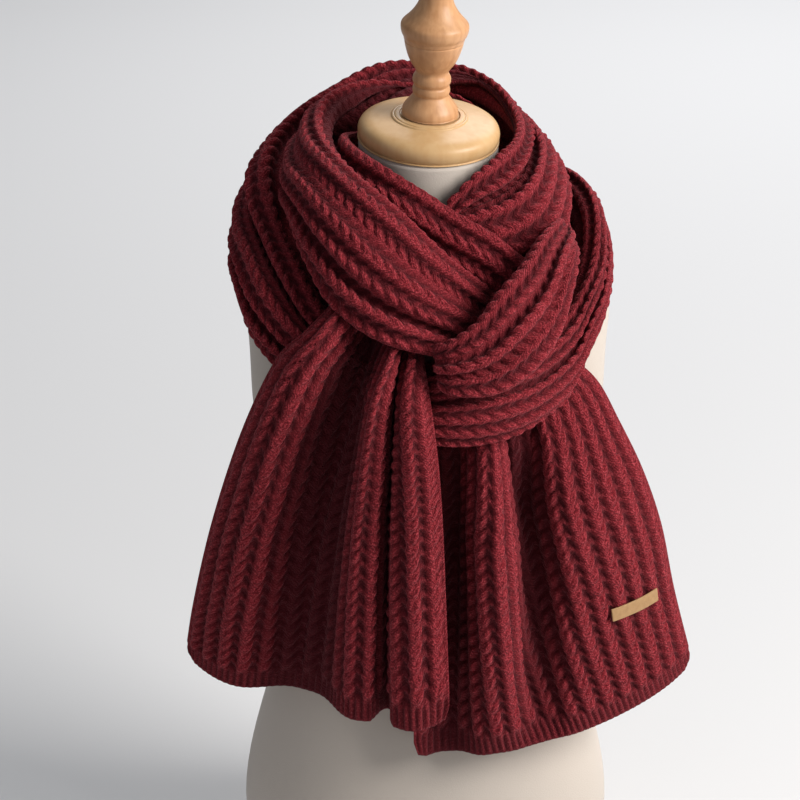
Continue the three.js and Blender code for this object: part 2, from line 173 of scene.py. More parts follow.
jersey, jersey_tree, jersey_shader = plain_material(
    "form_jersey", FORM_CLOTH_COLOUR, FORM_CLOTH_ROUGHNESS)
jersey_shader.inputs["Sheen Weight"].default_value = FORM_CLOTH_SHEEN
jersey_place = jersey_tree.nodes.new("ShaderNodeTexCoord")
jersey_knit = jersey_tree.nodes.new("ShaderNodeTexVoronoi")
jersey_knit.inputs["Scale"].default_value = 1 / FORM_YARN
jersey_tree.links.new(jersey_place.outputs["Object"], jersey_knit.inputs["Vector"])
add_bump(jersey_tree, jersey_shader, jersey_knit.outputs["Distance"], FORM_YARN_BUMP, FORM_YARN_DEPTH)

form_bm = bmesh.new()
bmesh.ops.create_uvsphere(form_bm, u_segments=STEPS_ROUND, v_segments=STEPS_UP, radius=1)
form_points = np.array([v.co for v in form_bm.verts])
form_angle = np.arctan2(form_points[:, 1], form_points[:, 0])
form_share = np.arcsin(np.clip(form_points[:, 2], -1, 1)) / math.pi + 0.5
form_rise = np.clip((form_share - UNDERSIDE) / (TOP_FACE - UNDERSIDE), 0, 1)
form_in = np.minimum(form_share / UNDERSIDE, 1) * np.minimum((1 - form_share) / (1 - TOP_FACE), 1)
form_row = between_rows(FORM_SECTIONS, form_rise)
form_power = 2 / form_row[:, 4]
form_cos, form_sin = np.cos(form_angle), np.sin(form_angle)
form_x = form_row[:, 1] * form_in * np.sign(form_cos) * np.abs(form_cos) ** form_power
form_y = form_row[:, 2] * form_in * np.sign(form_sin) * np.abs(form_sin) ** form_power
form_y -= form_row[:, 3]
form_lift = np.clip((form_row[:, 0] - NECK_TILT_START) / (NECK_TOP - NECK_TILT_START), 0, 1)
form_tilt = form_y * math.tan(CAP_FORWARD_TILT) - form_x * math.tan(CAP_SIDE_LEAN)
form_z = np.maximum(form_row[:, 0] + form_lift * form_tilt, 0)
for vertex, x, y, z in zip(form_bm.verts, form_x, form_y, form_z):
    vertex.co = (x * MM, y * MM, z * MM)
finish_piece("form", form_bm, jersey, "form_cloth", "form_torso")

# Neck cap: a turned disc of pale maple, varnished, that closes the form's neck.
# It is pegged to the neck, and its top has two shallow turned steps.
CAP_SEAM = 0.4
CAP_PROFILE = np.array([  # radius, height
    (0, 0), (53, 0), (56, 0.8), (57.3, 3), (57.8, 6.4), (57.4, 9.6), (56, 12.4), (53.4, 14.6),
    (49.6, 16.2), (44, 17.3), (37, 18.4), (32.6, 19.1), (31.4, 19.4), (30.8, 20.1), (29.8, 20.5),
    (28.9, 20.3), (28.3, 20.9), (27, 21.2), (24.4, 21.3), (23.4, 21), (0, 21.1)])
PROFILE_SMOOTHING = 3
TURNING_STEPS = 96
CAP_WOOD_LIGHT = (0.60, 0.39, 0.195, 1)
CAP_WOOD_DARK = (0.54, 0.32, 0.14, 1)
CAP_GRAIN_SCALE = 160
CAP_ROUGHNESS = 0.38
VARNISH_SHINE = 0.3
VARNISH_COAT = 0.05
VARNISH_ROUGHNESS = 0.4
PORE_BUMP = 0.06
PORE_DEPTH = 0.0005
GRAIN_ALONG = (1, 1, 0.10)
GRAIN_DETAIL = 5
GRAIN_WAVE = 0.4
CLOUD_SCALE = 22
CLOUD_SHARE = 0.5
GRAIN_DARK_AT = 0.52
GRAIN_LIGHT_AT = 0.98
up = Vector((math.tan(CAP_SIDE_LEAN), -math.tan(CAP_FORWARD_TILT), 1)).normalized()
neck_turn = up.to_track_quat("Z", "Y").to_matrix().to_4x4()
neck_place = Matrix.Translation((0, 0, (NECK_TOP + CAP_SEAM) * MM)) @ neck_turn


def new_range(tree, value, start, end, most=1):
    """A socket that goes from 0 to most while a value goes from start to end."""
    node = tree.nodes.new("ShaderNodeMapRange")
    node.inputs["From Min"].default_value = start
    node.inputs["From Max"].default_value = end
    node.inputs["To Max"].default_value = most
    tree.links.new(value, node.inputs["Value"])
    return node.outputs["Result"]


def new_mix(tree, share, first, second):
    """A socket that mixes two colours, each a socket or a value, by the second one's share."""
    node = tree.nodes.new("ShaderNodeMix")
    node.data_type = "RGBA"
    tree.links.new(share, node.inputs["Factor"])
    for socket, colour in ((node.inputs["A"], first), (node.inputs["B"], second)):
        if isinstance(colour, tuple):
            socket.default_value = colour
        else:
            tree.links.new(colour, socket)
    return node.outputs["Result"]


wood_grain = bpy.data.node_groups.new("turned_wood_grain", "ShaderNodeTree")
for socket, kind in (("Place", "NodeSocketVector"), ("Light Wood", "NodeSocketColor"),
                     ("Dark Wood", "NodeSocketColor"), ("Line Scale", "NodeSocketFloat")):
    wood_grain.interface.new_socket(socket, in_out="INPUT", socket_type=kind)
wood_grain.interface.new_socket("Colour", in_out="OUTPUT", socket_type="NodeSocketColor")
wood_grain.interface.new_socket("Pores", in_out="OUTPUT", socket_type="NodeSocketFloat")
grain_in = wood_grain.nodes.new("NodeGroupInput")
grain_out = wood_grain.nodes.new("NodeGroupOutput")
grain_stretch = wood_grain.nodes.new("ShaderNodeMapping")
grain_stretch.inputs["Scale"].default_value = GRAIN_ALONG
wood_grain.links.new(grain_in.outputs["Place"], grain_stretch.inputs["Vector"])
grain_lines = wood_grain.nodes.new("ShaderNodeTexNoise")
grain_lines.inputs["Detail"].default_value = GRAIN_DETAIL
grain_lines.inputs["Distortion"].default_value = GRAIN_WAVE
wood_grain.links.new(grain_stretch.outputs["Vector"], grain_lines.inputs["Vector"])
wood_grain.links.new(grain_in.outputs["Line Scale"], grain_lines.inputs["Scale"])
grain_clouds = wood_grain.nodes.new("ShaderNodeTexNoise")
grain_clouds.inputs["Scale"].default_value = CLOUD_SCALE
wood_grain.links.new(grain_in.outputs["Place"], grain_clouds.inputs["Vector"])
grain_sum = wood_grain.nodes.new("ShaderNodeMath")
grain_sum.operation = "MULTIPLY_ADD"
grain_sum.inputs[1].default_value = CLOUD_SHARE
wood_grain.links.new(grain_clouds.outputs["Fac"], grain_sum.inputs[0])
wood_grain.links.new(grain_lines.outputs["Fac"], grain_sum.inputs[2])
grain_share = new_range(wood_grain, grain_sum.outputs["Value"], GRAIN_DARK_AT, GRAIN_LIGHT_AT)
grain_colour = new_mix(wood_grain, grain_share, grain_in.outputs["Dark Wood"],
                       grain_in.outputs["Light Wood"])
wood_grain.links.new(grain_colour, grain_out.inputs["Colour"])
wood_grain.links.new(grain_lines.outputs["Fac"], grain_out.inputs["Pores"])


def turned_wood(name, light, dark, line_scale, roughness):
    """Varnished turned wood, with its grain along the piece's height."""
    material, tree, shader = plain_material(name, light, roughness)
    shader.inputs["Specular IOR Level"].default_value = VARNISH_SHINE
    shader.inputs["Coat Weight"].default_value = VARNISH_COAT
    shader.inputs["Coat Roughness"].default_value = VARNISH_ROUGHNESS
    place = tree.nodes.new("ShaderNodeTexCoord")
    grain = tree.nodes.new("ShaderNodeGroup")
    grain.node_tree = wood_grain
    grain.inputs["Light Wood"].default_value = light
    grain.inputs["Dark Wood"].default_value = dark
    grain.inputs["Line Scale"].default_value = line_scale
    tree.links.new(place.outputs["Object"], grain.inputs["Place"])
    tree.links.new(grain.outputs["Colour"], shader.inputs["Base Color"])
    add_bump(tree, shader, grain.outputs["Pores"], PORE_BUMP, PORE_DEPTH)
    return material


def turned_piece(profile):
    """A bmesh turned about the upright axis from a profile of radii and heights in mm, with its base at
    the origin.
    """
    share = np.linspace(0, 1, (len(profile) - 1) * PROFILE_SMOOTHING + 1)
    line = between_rows(profile, share)
    line[:, 0] = np.maximum(line[:, 0], 0)
    bm = bmesh.new()
    points = [bm.verts.new((radius * MM, 0, height * MM)) for radius, height in line]
    edges = [bm.edges.new(pair) for pair in zip(points, points[1:])]
    bmesh.ops.spin(bm, geom=points + edges, cent=(0, 0, 0), axis=(0, 0, 1), angle=math.tau,
                   steps=TURNING_STEPS, use_merge=True)
    bmesh.ops.remove_doubles(bm, verts=bm.verts, dist=1e-6)
    bmesh.ops.recalc_face_normals(bm, faces=bm.faces)
    return bm


maple = turned_wood("cap_maple", CAP_WOOD_LIGHT, CAP_WOOD_DARK, CAP_GRAIN_SCALE, CAP_ROUGHNESS)
cap_bm = turned_piece(CAP_PROFILE)
bmesh.ops.transform(cap_bm, matrix=neck_place, verts=cap_bm.verts)
finish_piece("cap", cap_bm, maple, "cap_wood", "neck_cap")

# Finial: a vase-shaped turned knob of warmer beech, screwed into the cap.
# It has a flared foot, two rings and a lipped vase, and narrows to a plain rounded end.
CAP_HEIGHT = 21.3
SEAM_GAP = 0.35
FINIAL_PROFILE = np.array([  # radius, height
    (0, 0), (21.2, 0), (22.6, 0.8), (22.8, 3), (22, 6), (20, 9.2), (16.9, 13.2), (14.9, 16),
    (14.2, 17.6), (14.7, 18.6), (15.2, 20.4), (15.2, 22), (14.8, 23.8), (14, 25.2), (14.5, 26.4),
    (15.4, 28.2), (15.5, 30.2), (15, 32.6), (13.8, 34.8), (13.3, 36.6), (13.9, 38.8), (15.9, 41.8),
    (17.9, 44.6), (20, 49), (21.6, 53.4), (22.9, 58), (23.7, 61.8), (23.5, 62.8), (24.2, 63.8),
    (24.8, 66.2), (26.2, 68.8), (27, 71.6), (27.3, 74.6), (26.8, 77), (25, 79.2), (22.2, 82),
    (18.7, 86.2), (15.8, 90.8), (13.8, 95.2), (12.9, 99.4), (12.3, 104), (11.2, 109), (8.6, 113),
    (4.8, 115.2), (0, 115.8)])
FINIAL_WOOD_LIGHT = (0.60, 0.33, 0.165, 1)
FINIAL_WOOD_DARK = (0.46, 0.225, 0.10, 1)
FINIAL_GRAIN_SCALE = 230
FINIAL_ROUGHNESS = 0.4
beech = turned_wood("finial_beech", FINIAL_WOOD_LIGHT, FINIAL_WOOD_DARK, FINIAL_GRAIN_SCALE,
                    FINIAL_ROUGHNESS)
finial_bm = turned_piece(FINIAL_PROFILE)
finial_place = neck_place @ Matrix.Translation((0, 0, (CAP_HEIGHT + SEAM_GAP) * MM))
bmesh.ops.transform(finial_bm, matrix=finial_place, verts=finial_bm.verts)
finish_piece("turned_finial", finial_bm, beech, "finial_wood", "finial")

# Left tail: the end of the scarf that hangs in front. One strip of burgundy wool yarn is knit in
# chunky wheat-ear ribs 18 mm apart, and this end is gathered at the top and pleats as it fans out.
# Its hem is a tight border of fine ribs.
RIB_PITCH = 18
STITCH_PITCH = 12.4
TAIL_RIBS = 16
TAIL_WRAP = math.radians(62)
# The knit, in mm. Each kind of stitch has a height, and a lean, half length and half width.
RIB_FLOOR = -3.3
STRAND_HEIGHT = 4.9
STRAND_ASIDE = 1.4
STRAND_HALF = 3.5
LEAF_HEIGHT = 5.9
LEAF = (math.radians(23), 8.8, 3.5)
LEAF_ASIDE = 2.1
LEAF_TIP = 0.5
SMALL_LEAF_HEIGHT = 5.0
SMALL_LEAF = (math.radians(-20), 8.2, 2.7)
SMALL_LEAF_ASIDE = 2.5
SMALL_LEAF_DOWN = 1.5
SMALL_LEAF_TIP = 0.4
PURL_HEIGHT = 2.0
PURL = (math.radians(-40), 5.2, 2.4)
PURL_ASIDE = 0.3
PURL_DOWN = 0.45
# A fixed wave over the ribs and stitches makes neighbours a little unlike.
UNEVEN_WAVE = (12.9, 7.3)
UNEVEN = 0.3
UNEVEN_LEAF = 0.45
SELVEDGE_HEIGHT = 4.2
SELVEDGE_RIBS = 0.45
BACK_DEPTH = 4.6
BACK_RIB = 1.2
# A narrow place squeezes the relief, within these limits.
SQUEEZE_LIMITS = (0.3, 1.05)
# The hem: fine ribs, a blend at its top and at its very end, and rounded corners.
HEM_TALL = 23
HEM_RIB = 6
HEM_HEIGHT = 1.9
HEM_RIB_HEIGHT = 1.4
HEM_BLEND = 7
HEM_END = 4
HEM_END_BLEND = 5
CORNER_ROUND = 13
CORNER_PULL = 0.3
# A tuck is the cloth that goes on past an edge, out of sight.
TUCK_COLUMNS = 6
TUCK_LEAST = 0.05
TUCK_FADE = 0.08
# A tail's face stays at least this far out from the form.
FORM_CLEAR = 8
# The mesh has a row every 1.75 mm, and the other steps are counts of points or columns.
MESH_STEP = 1.75
COLUMNS_PER_RIB = 11
ACROSS_POINTS = 321
LINE_POINTS = 400
SHARE_STEP = 1e-3
# Painted shade: hollows are painted darker, and how dark goes by their depth.
PAINTED_SHADE_DEPTH = 26
HOLLOW_PAINTED_SHADE = 0.75
HOLLOW_PAINTED_SINK = 0.2
# The inner face gets a fixed, lower rise, so it is painted a little darker, as painted shade.
BACK_PAINTED_SHADE_RISE = 0.55
WOOL_COLOUR = (0.222, 0.0155, 0.0225, 1)
# The wool is mixed towards a painted shade colour in gullies and hollows, and towards a painted highlight
# colour on the crests.
WOOL_PAINTED_SHADE = (0.036, 0.003, 0.0055, 1)
WOOL_PAINTED_HIGHLIGHT = (0.48, 0.075, 0.09, 1)
WOOL_ROUGHNESS = 0.9
WOOL_SHINE = 0.15
WOOL_SHEEN = 0.12
WOOL_SHEEN_ROUGHNESS = 0.45
WOOL_SHEEN_TINT = (1.0, 0.4, 0.45, 1)
WOOL_BUMP = 0.9
WOOL_BUMP_DEPTH = 0.0011
# Fine yarn: each stitch is several thin strands, so short slanted lines run up both sides of a rib.
YARN_PITCH = 3.2
YARN_WIDE = 2.4
YARN_SLANT = 6.0
YARN_BUMP = 0.2
# The strand lines are also painted into the colour, as painted shade between the strands and painted
# highlight on them.
YARN_PAINTED_LIGHT = 0.085
FRAY_SCALE = 260
FRAY_SHIFT = 2.6
HOLE_SIZE = 0.42
HOLE_DEPTH = 0.22
# Flecks: random fibres make dark and light flecks. The dark flecks also paint shade into the gaps between
# the strands, and the light flecks are painted highlights, kept to the crests.
FLECK_SCALE = 820
FLECK_ROUGHNESS = 0.6
DARK_FLECK_AND_PAINTED_GAP_RANGE = (0.53, 0.37)
DARK_FLECK_AND_PAINTED_GAP_SHARE = 0.58
PAINTED_HIGHLIGHT_FLECK_RANGE = (0.54, 0.68)
PAINTED_HIGHLIGHT_FLECK_SHARE = 0.5
# Painted shade: gullies between the stitches are painted from lit to dark between these shares of the
# knit's height.
GULLY_PAINTED_SHADE_RISE = (0.84, 0.05)
GULLY_PAINTED_SHADE_MOST = 0.84
LEFT_TAIL = np.array([  # left x, y, z, right x, y, z, bow, sag
    (-70, -103, 600, -5, -123, 560, 8, 0), (-80, -114, 587, -4, -138, 549, 8, 0),
    (-98, -130, 573, -2, -153, 540, 9, 1), (-119, -126, 550, 1, -165, 524, 14, 3),
    (-148, -112, 484, 6, -170, 486, 18, 6), (-176, -90, 395, 10, -169, 434, 22, 8),
    (-196, -73, 312, 14, -166, 346, 24, 8), (-207, -60, 252, 18, -164, 246, 24, 6)], float)
LEFT_TAIL_FOLDS = [  # across at the top and hem, width, depth at the top, middle and hem
    (0.2, 0.17, 0.12, 10, 15, 3), (0.47, 0.455, 0.147, -19, -44, -26), (0.68, 0.68, 0.05, 8, 12, 2),
    (0.775, 0.775, 0.024, -20, -30, -22), (0.88, 0.88, 0.07, 4, 10, 10)]


def unit(vectors):
    """The same directions with length 1."""
    return vectors / np.maximum(np.linalg.norm(vectors, axis=-1, keepdims=True), 1e-9)


def evenly(points, count):
    """Points spaced evenly along a line of points, with any further value that each one carries."""
    steps = np.linalg.norm(np.diff(points[:, :3], axis=0), axis=1)
    reached = np.concatenate([[0], np.cumsum(steps)])
    wanted = np.linspace(0, reached[-1], count)
    return np.stack([np.interp(wanted, reached, values) for values in points.T], axis=1)


def tail_edges(rows):
    """The left edge, right edge, bow and sag of a hanging tail, at each share of its length."""
    def at(share):
        value = between_rows(rows, share)
        return value[:, 0:3], value[:, 3:6], value[:, 6], value[:, 7]
    return at


def clear_of_form(points):
    """The points, with those that would sink into the form's front moved out to rest on it."""
    half_width, half_depth, forward, power = [
        np.interp(points[..., 2], FORM_SECTIONS[:, 0], column) for column in FORM_SECTIONS.T[1:]]
    aside = np.minimum(np.abs(points[..., 0]) / half_width, 1)
    front = -half_depth * (1 - aside ** power) ** (1 / power) - forward - FORM_CLEAR
    rests = (aside < 1) & (points[..., 1] < 0) & (points[..., 1] > front)
    resting = points.copy()
    resting[..., 1] = np.where(rests, front, points[..., 1])
    return resting


def cross_sections(edges, share, wrap, folds):
    """The cloth's face as rows of points across the strip: an arc between its edges, with its folds.
    Each point carries its fold's depth. Troughs have a flat bottom, and ridges are round."""
    low, high, crown, sag = edges(share)
    low_back, high_back, _, _ = edges(np.maximum(share - SHARE_STEP, 0))
    low_on, high_on, _, _ = edges(np.minimum(share + SHARE_STEP, 1))
    along = unit(low_on + high_on - low_back - high_back)
    half = (high - low) / 2
    out = unit(np.cross(along, half))
    angle = wrap * np.linspace(-1, 1, ACROSS_POINTS)
    rise = (np.cos(angle) - math.cos(wrap)) / (1 - math.cos(wrap))
    middle = (high + low) / 2
    arc = middle[:, None] + half[:, None] * (np.sin(angle) / math.sin(wrap))[None, :, None]
    arc += out[:, None] * (crown[:, None] * rise)[..., None]
    arc[..., 2] -= sag[:, None] * rise
    arc = np.stack([evenly(line, ACROSS_POINTS) for line in arc])
    facing = unit(np.cross(along[:, None], np.gradient(arc, axis=1)))
    across = np.linspace(0, 1, ACROSS_POINTS)
    depth = np.zeros(arc.shape[:2])
    for high_at, low_at, width, first, middle, last in folds:
        at = (high_at + (low_at - high_at) * share)[:, None]
        shape = np.exp(-np.abs((across[None] - at) / width) ** (2 if middle > 0 else 3))
        size = between_rows(np.array([[first], [middle], [last]], float), share)
        depth += size * shape
    return np.concatenate([clear_of_form(arc + facing * depth[..., None]), depth[..., None]], axis=-1)


def with_tuck(face, rib, share, edge, length, drop, start, end, fade_in=TUCK_FADE):
    """Adds the cloth that goes on past the high or low edge, curls in towards the neck and drops.
    Start and end are its first and last share of the strip, and it fades in and out there."""
    if edge == "low":
        face, rib = face[:, ::-1], rib[::-1]
    begin = face[:, -1, :3]
    first = unit(begin - face[:, -3, :3])
    inward = unit(begin * [-1, -1, 0])
    drop = math.radians(drop)
    last = inward * math.cos(drop) + np.array([0, 0, -math.sin(drop)])
    fade = np.clip((share - start) / fade_in, 0, 1) * np.clip((end - share) / TUCK_FADE, 0, 1)
    size = length * (TUCK_LEAST + (1 - TUCK_LEAST) * fade)[:, None]
    tuck_ribs = math.ceil(length / RIB_PITCH)
    steps = np.linspace(0, 1, tuck_ribs * TUCK_COLUMNS + 1)[1:]
    extra = np.stack([begin + size * (first * (s - s * s / 2) + last * s * s / 2) for s in steps], axis=1)
    # The tucked cloth is given the full depth for painted shade, so it is painted dark.
    painted_tuck_shade = -PAINTED_SHADE_DEPTH * np.minimum(steps * 3, 1)[None, :, None]
    painted_tuck_shade = np.broadcast_to(painted_tuck_shade, extra[..., :1].shape)
    face = np.concatenate([face, np.concatenate([extra, painted_tuck_shade], axis=-1)], axis=1)
    rib = np.concatenate([rib, rib[-1] + np.sign(rib[-1] - rib[-2]) * tuck_ribs * steps])
    return (face[:, ::-1], rib[::-1]) if edge == "low" else (face, rib)


def bead(across, down, lean, half_long, half_wide):
    """The rounded height, from 0 to 1, of an oval stitch that leans by an angle from straight up,
    and how far towards its upper tip each place is."""
    upward = across * math.sin(lean) - down * math.cos(lean)
    sideways = across * math.cos(lean) + down * math.sin(lean)
    inside = 1 - (upward / half_long) ** 2 - (sideways / half_wide) ** 2
    return np.sqrt(np.clip(inside, 0, 1)), np.clip(upward / half_long, -1, 1) * (inside > 0)


def knit_height(rib, down, hem):
    """How far the knit stands out, in mm. Each rib is a strand with a column of large leaf-shaped
    stitches on its right and smaller ones on its left, and purl stitches lie between the ribs."""
    x = (rib % 1 - 0.5) * RIB_PITCH
    gully = ((rib + 0.5) % 1 - 0.5) * RIB_PITCH
    strand = np.sqrt(np.clip(1 - ((x + STRAND_ASIDE) / STRAND_HALF) ** 2, 0, 1))
    height = STRAND_HEIGHT * strand
    for step in (-1, 0, 1):
        stitch = np.floor(down / STITCH_PITCH) + step
        uneven = np.sin(UNEVEN_WAVE[0] * np.floor(rib) + UNEVEN_WAVE[1] * stitch)
        below = down - (stitch + 0.5) * STITCH_PITCH
        leaf, tip = bead(x - LEAF_ASIDE - UNEVEN * uneven, below, *LEAF)
        height = np.maximum(height, (LEAF_HEIGHT + UNEVEN_LEAF * uneven) * leaf + LEAF_TIP * tip)
        leaf, tip = bead(x + SMALL_LEAF_ASIDE, below - SMALL_LEAF_DOWN, *SMALL_LEAF)
        height = np.maximum(height, (SMALL_LEAF_HEIGHT - UNEVEN * uneven) * leaf + SMALL_LEAF_TIP * tip)
        purl, _ = bead(gully + PURL_ASIDE, below - PURL_DOWN * STITCH_PITCH, *PURL)
        height = np.maximum(height, (PURL_HEIGHT + UNEVEN * uneven) * purl)
    fine_rib = np.cos(2 * math.pi * rib * RIB_PITCH / HEM_RIB)
    fine = HEM_HEIGHT + HEM_RIB_HEIGHT * fine_rib * np.clip(2 - hem, 0, 1)
    return height + (fine - height) * np.minimum(hem, 1)


def knit_strip(edges, wrap, folds, ribs, tucks=(), hem=False, flatten=None):
    """The wool strip's mesh: a thin slab whose outer face carries the knit. It returns the bmesh."""
    fine_share = np.linspace(0, 1, LINE_POINTS)
    low, high, crown, _ = edges(fine_share)
    middle = (low + high) / 2
    line = middle + unit(np.cross(np.gradient(middle, axis=0), high - low)) * crown[:, None]
    reached = np.concatenate([[0], np.cumsum(np.linalg.norm(np.diff(line, axis=0), axis=1))])
    rows = int(reached[-1] / MESH_STEP) + 1
    down = np.linspace(0, reached[-1], rows)
    share = np.interp(down, reached, fine_share)
    sections = cross_sections(edges, share, wrap, folds)
    face = np.stack([evenly(section, ribs * COLUMNS_PER_RIB + 1) for section in sections])
    rib_line = np.linspace(0, ribs, face.shape[1])
    for tuck in tucks:
        face, rib_line = with_tuck(face, rib_line, share, *tuck)
    columns = face.shape[1]
    # Troughs and tucks get painted shade by their depth.
    painted_hollow_shade = np.clip(-face[..., 3] / PAINTED_SHADE_DEPTH, 0, 1)
    face = face[..., :3]
    rib = np.broadcast_to(rib_line[None], face.shape[:2])
    fall = np.broadcast_to(down[:, None], face.shape[:2])
    from_edge = np.minimum(rib - rib_line[0], rib_line[-1] - rib)
    hem_share = np.zeros(face.shape[:2])
    if hem:
        rounding = np.clip(1 - from_edge * RIB_PITCH / CORNER_ROUND, 0, 1)
        rounding = rounding * np.clip(1 - (reached[-1] - fall) / CORNER_ROUND, 0, 1)
        inward = unit(np.gradient(face, axis=1)) * np.sign(ribs / 2 - rib)[..., None]
        diagonal = inward - unit(np.gradient(face, axis=0))
        face = face + CORNER_PULL * CORNER_ROUND * rounding[..., None] * diagonal
        in_hem = fall - (reached[-1] - HEM_TALL)
        hem_share = np.clip(in_hem / HEM_BLEND, 0, 1)
        hem_share = hem_share + np.clip((in_hem - HEM_TALL + HEM_END) / HEM_END_BLEND, 0, 1)
    facing = unit(np.cross(np.gradient(face, axis=0), np.gradient(face, axis=1)))
    spacing = np.linalg.norm(np.gradient(face, axis=1), axis=-1) * COLUMNS_PER_RIB
    squeeze = np.clip(spacing / RIB_PITCH, *SQUEEZE_LIMITS)
    height = knit_height(rib, fall, hem_share)
    selvedge = np.clip(1 - from_edge / SELVEDGE_RIBS, 0, 1)
    height += (SELVEDGE_HEIGHT - height) * selvedge * np.clip(1 - hem_share, 0, 1)
    relief = (RIB_FLOOR + height) * squeeze
    if flatten is not None:
        relief = flatten(share, np.linspace(0, 1, columns), relief)
    back = -BACK_DEPTH - BACK_RIB * np.cos(2 * math.pi * rib)
    outer = (face + facing * relief[..., None]) * MM
    inner = (face + facing * back[..., None]) * MM
    bm = bmesh.new()
    bmesh.ops.create_grid(bm, x_segments=columns - 1, y_segments=rows - 1, size=1)
    raised = bmesh.ops.extrude_face_region(bm, geom=bm.faces[:], use_keep_orig=True)
    lifted = [item for item in raised["geom"] if isinstance(item, bmesh.types.BMVert)]
    bmesh.ops.translate(bm, verts=lifted, vec=(0, 0, 1))
    bmesh.ops.recalc_face_normals(bm, faces=bm.faces)
    place = bm.loops.layers.uv.new("knit")
    for corner_face in bm.faces:
        for corner in corner_face.loops:
            x, y, _ = corner.vert.co
            rib_here = rib_line[round((x + 1) / 2 * (columns - 1))]
            corner[place].uv = (rib_here, (1 - y) / 2 * reached[-1] / RIB_PITCH)
    # Painted shade: the rise that the wool's material reads is low in gullies, lower still in hollows and
    # tucks, and fixed on the inner face.
    rise = np.clip(height / LEAF_HEIGHT, 0, 1) * (1 - HOLLOW_PAINTED_SHADE * painted_hollow_shade) - HOLLOW_PAINTED_SINK * painted_hollow_shade
    painted_shade_layer = bm.verts.layers.float.new("painted_shade_rise")
    for vertex in bm.verts:
        column = round((vertex.co.x + 1) / 2 * (columns - 1))
        row = round((1 - vertex.co.y) / 2 * (rows - 1))
        outside = vertex.co.z > 0.5
        vertex[painted_shade_layer] = rise[row, column] if outside else BACK_PAINTED_SHADE_RISE
        vertex.co = outer[row, column] if outside else inner[row, column]
    return bm


def new_math(tree, operation, first, second=None):
    """A math node on one or two inputs, each a socket or a number."""
    node = tree.nodes.new("ShaderNodeMath")
    node.operation = operation
    for socket, value in zip(node.inputs, (first, second)):
        if isinstance(value, (int, float)):
            socket.default_value = value
        elif value is not None:
            tree.links.new(value, socket)
    return node.outputs[0]


wool_knit = bpy.data.node_groups.new("wool_knit", "ShaderNodeTree")
for socket, kind in (("Knit Place", "NodeSocketVector"), ("Object Place", "NodeSocketVector"),
                     ("Painted Shade Rise", "NodeSocketFloat"), ("Wool", "NodeSocketColor"),
                     ("Shade", "NodeSocketColor"), ("Light", "NodeSocketColor")):
    wool_knit.interface.new_socket(socket, in_out="INPUT", socket_type=kind)
wool_knit.interface.new_socket("Colour", in_out="OUTPUT", socket_type="NodeSocketColor")
wool_knit.interface.new_socket("Yarn Height", in_out="OUTPUT", socket_type="NodeSocketFloat")
wool_in = wool_knit.nodes.new("NodeGroupInput")
wool_out = wool_knit.nodes.new("NodeGroupOutput")
wool_parts = wool_knit.nodes.new("ShaderNodeSeparateXYZ")
wool_knit.links.new(wool_in.outputs["Knit Place"], wool_parts.inputs["Vector"])
wool_wrapped = new_math(wool_knit, "FRACT", wool_parts.outputs["X"])
wool_side = new_math(wool_knit, "ABSOLUTE", new_math(wool_knit, "SUBTRACT", wool_wrapped, 0.5))
wool_rows = new_math(wool_knit, "MULTIPLY", wool_parts.outputs["Y"], RIB_PITCH / YARN_PITCH)
wool_slant = new_math(wool_knit, "MULTIPLY", wool_side, YARN_SLANT)
wool_fray = wool_knit.nodes.new("ShaderNodeTexNoise")
wool_fray.inputs["Scale"].default_value = FRAY_SCALE
wool_fray.inputs["Detail"].default_value = 2
wool_knit.links.new(wool_in.outputs["Object Place"], wool_fray.inputs["Vector"])
wool_shift = new_math(wool_knit, "MULTIPLY", wool_fray.outputs["Fac"], FRAY_SHIFT)
wool_phase = new_math(wool_knit, "ADD", new_math(wool_knit, "ADD", wool_rows, wool_slant), wool_shift)
wool_strand = new_math(wool_knit, "SINE", new_math(wool_knit, "MULTIPLY", wool_phase, 2 * math.pi))
wool_fleck = wool_knit.nodes.new("ShaderNodeTexNoise")
wool_fleck.inputs["Scale"].default_value = FLECK_SCALE
wool_fleck.inputs["Detail"].default_value = 2
wool_fleck.inputs["Roughness"].default_value = FLECK_ROUGHNESS
wool_knit.links.new(wool_in.outputs["Object Place"], wool_fleck.inputs["Vector"])
wool_stitch_place = wool_knit.nodes.new("ShaderNodeVectorMath")
wool_stitch_place.operation = "MULTIPLY"
wool_stitch_place.inputs[1].default_value = (RIB_PITCH / YARN_WIDE, RIB_PITCH / YARN_PITCH, 1)
wool_knit.links.new(wool_in.outputs["Knit Place"], wool_stitch_place.inputs[0])
wool_stitch = wool_knit.nodes.new("ShaderNodeTexVoronoi")
wool_stitch.voronoi_dimensions = "2D"
wool_stitch.inputs["Scale"].default_value = 1
wool_knit.links.new(wool_stitch_place.outputs["Vector"], wool_stitch.inputs["Vector"])
wool_inside = new_math(wool_knit, "SUBTRACT", HOLE_SIZE, wool_stitch.outputs["Distance"])
wool_hole = new_math(wool_knit, "MULTIPLY", wool_inside, HOLE_DEPTH)
wool_loose = new_math(wool_knit, "ADD", wool_fleck.outputs["Fac"], wool_hole)
wool_painted_strand_light = new_math(wool_knit, "MULTIPLY", wool_strand, YARN_PAINTED_LIGHT)
wool_flecks_and_painted_light = new_math(wool_knit, "ADD", wool_painted_strand_light, wool_loose)
# Painted shade: dark flecks and the gaps between the strands darken the wool.
wool_painted_gap_range = new_range(wool_knit, wool_flecks_and_painted_light, *DARK_FLECK_AND_PAINTED_GAP_RANGE)
wool_painted_gap_shade = new_math(wool_knit, "MULTIPLY", wool_painted_gap_range, DARK_FLECK_AND_PAINTED_GAP_SHARE)
